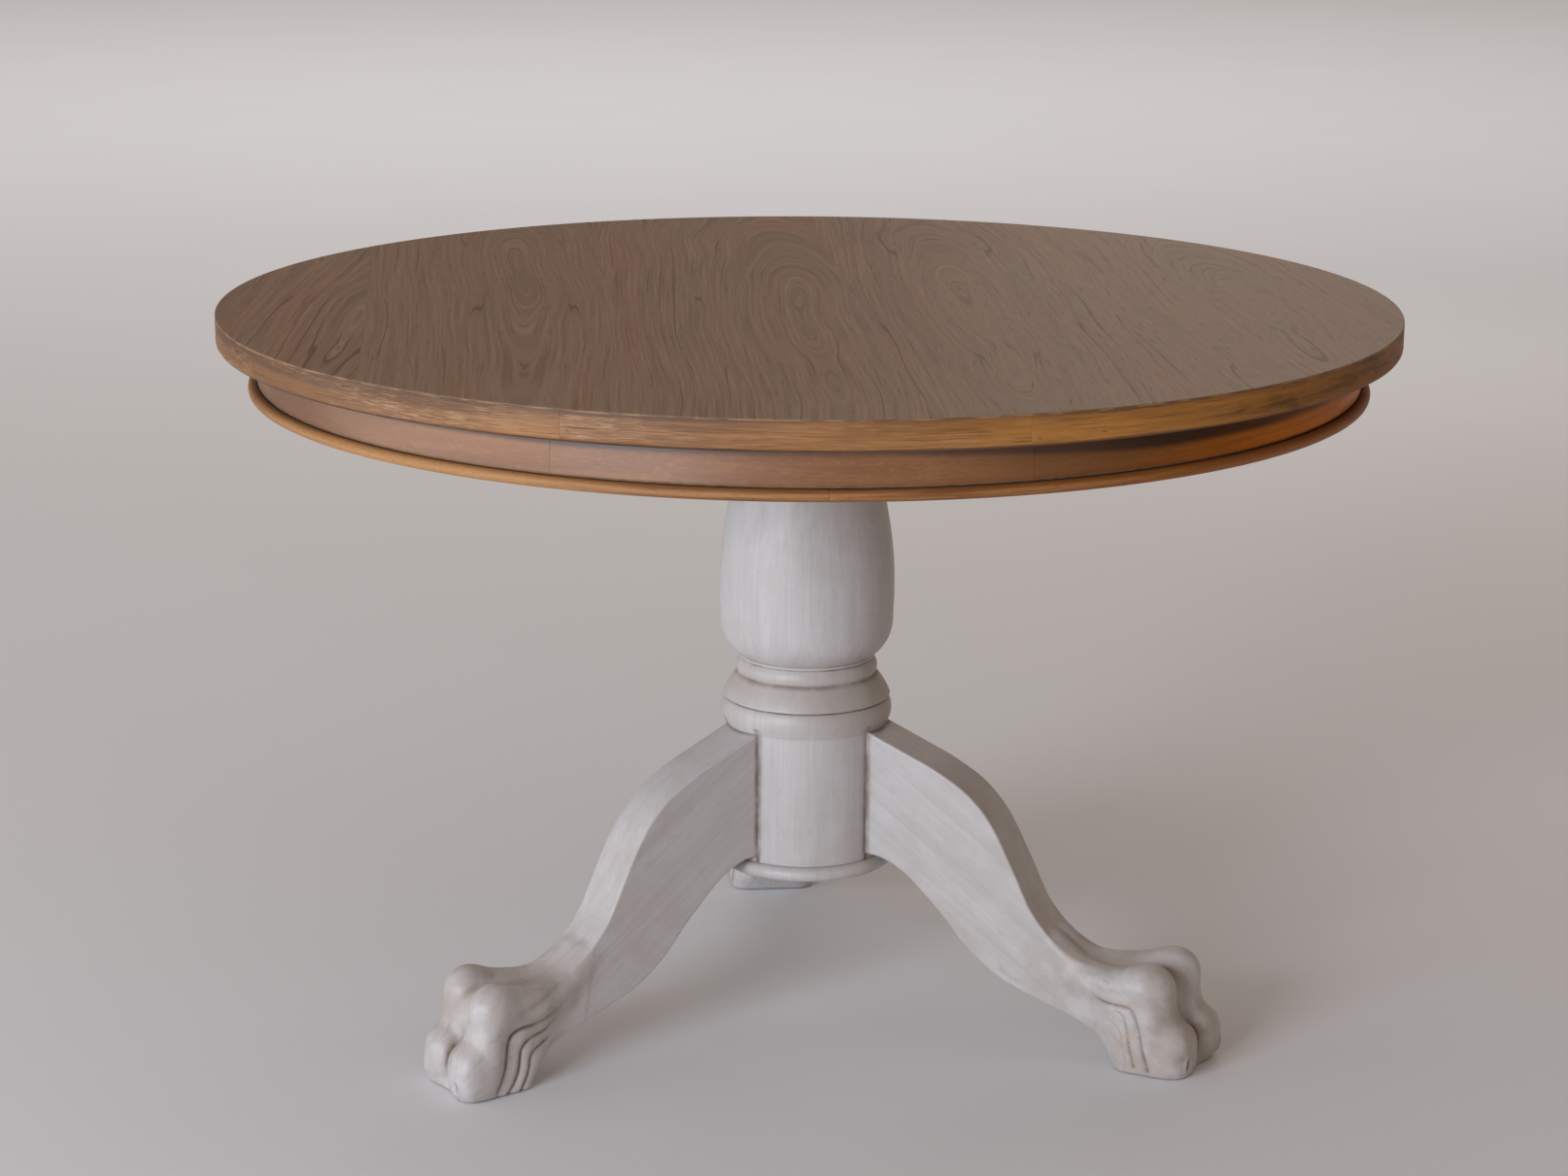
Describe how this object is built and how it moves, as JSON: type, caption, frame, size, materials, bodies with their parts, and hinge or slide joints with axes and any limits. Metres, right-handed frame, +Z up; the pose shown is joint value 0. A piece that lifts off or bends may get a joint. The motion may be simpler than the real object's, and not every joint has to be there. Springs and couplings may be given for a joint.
{
  "type": "round pedestal table",
  "caption": "Round dining table: stained wood top with lipping, apron and bead, on a turned painted column with carved lion-paw legs.",
  "frame": {"origin": "on the floor under the column's axis, which is the centre of the top in plan", "axes": "+Z up through the column, -Y to the front between the two front legs, +X to the right"},
  "size_m": [1.2, 1.2, 0.76],
  "materials": {
    "top_veneer": "satin, wire-brushed grey-brown stain with dark open grain",
    "rim_wood": "satin, warm brown stain, rubbed through along the edges",
    "apron_wood": "smooth satin brown stain",
    "bead_wood": "satin orange-brown stain",
    "painted_wood": "brushed off-white paint with a beige glaze in the grooves",
    "raw_wood": "bare planed wood",
    "steel": "zinc-plated steel",
    "nylon": "matt nylon"
  },
  "bodies": {
    "root": {"top_leaf_1": "top_veneer", "top_leaf_2": "top_veneer", "top_leaf_3": "top_veneer", "top_leaf_4": "top_veneer", "top_leaf_5": "top_veneer", "top_core": "raw_wood", "rim_segment_1": "rim_wood", "rim_segment_2": "rim_wood", "rim_segment_3": "rim_wood", "rim_segment_4": "rim_wood", "rim_segment_5": "rim_wood", "rim_segment_6": "rim_wood", "rim_segment_7": "rim_wood", "rim_segment_8": "rim_wood", "rim_segment_9": "rim_wood", "apron_segment_1": "apron_wood", "apron_block_1": "raw_wood", "apron_segment_2": "apron_wood", "apron_block_2": "raw_wood", "apron_segment_3": "apron_wood", "apron_block_3": "raw_wood", "apron_segment_4": "apron_wood", "apron_block_4": "raw_wood", "apron_segment_5": "apron_wood", "apron_block_5": "raw_wood", "apron_segment_6": "apron_wood", "apron_block_6": "raw_wood", "apron_segment_7": "apron_wood", "apron_block_7": "raw_wood", "apron_segment_8": "apron_wood", "apron_block_8": "raw_wood", "bead_strip_1": "bead_wood", "bead_strip_2": "bead_wood", "bead_strip_3": "bead_wood", "bead_strip_4": "bead_wood", "bead_strip_5": "bead_wood", "bead_strip_6": "bead_wood", "bearer_front": "raw_wood", "bearer_rear": "raw_wood", "mounting_plate": "raw_wood", "column": "painted_wood", "base_disc": "painted_wood", "leg_left": "painted_wood", "leg_right": "painted_wood", "leg_rear": "painted_wood", "glide_left": "nylon", "glide_right": "nylon", "glide_rear": "nylon", "tie_rod": "steel", "tie_rod_nuts": "steel", "tie_rod_washers": "steel", "block_screws": "steel", "bearer_screws": "steel", "plate_screws": "steel"}
  },
  "joints": []
}
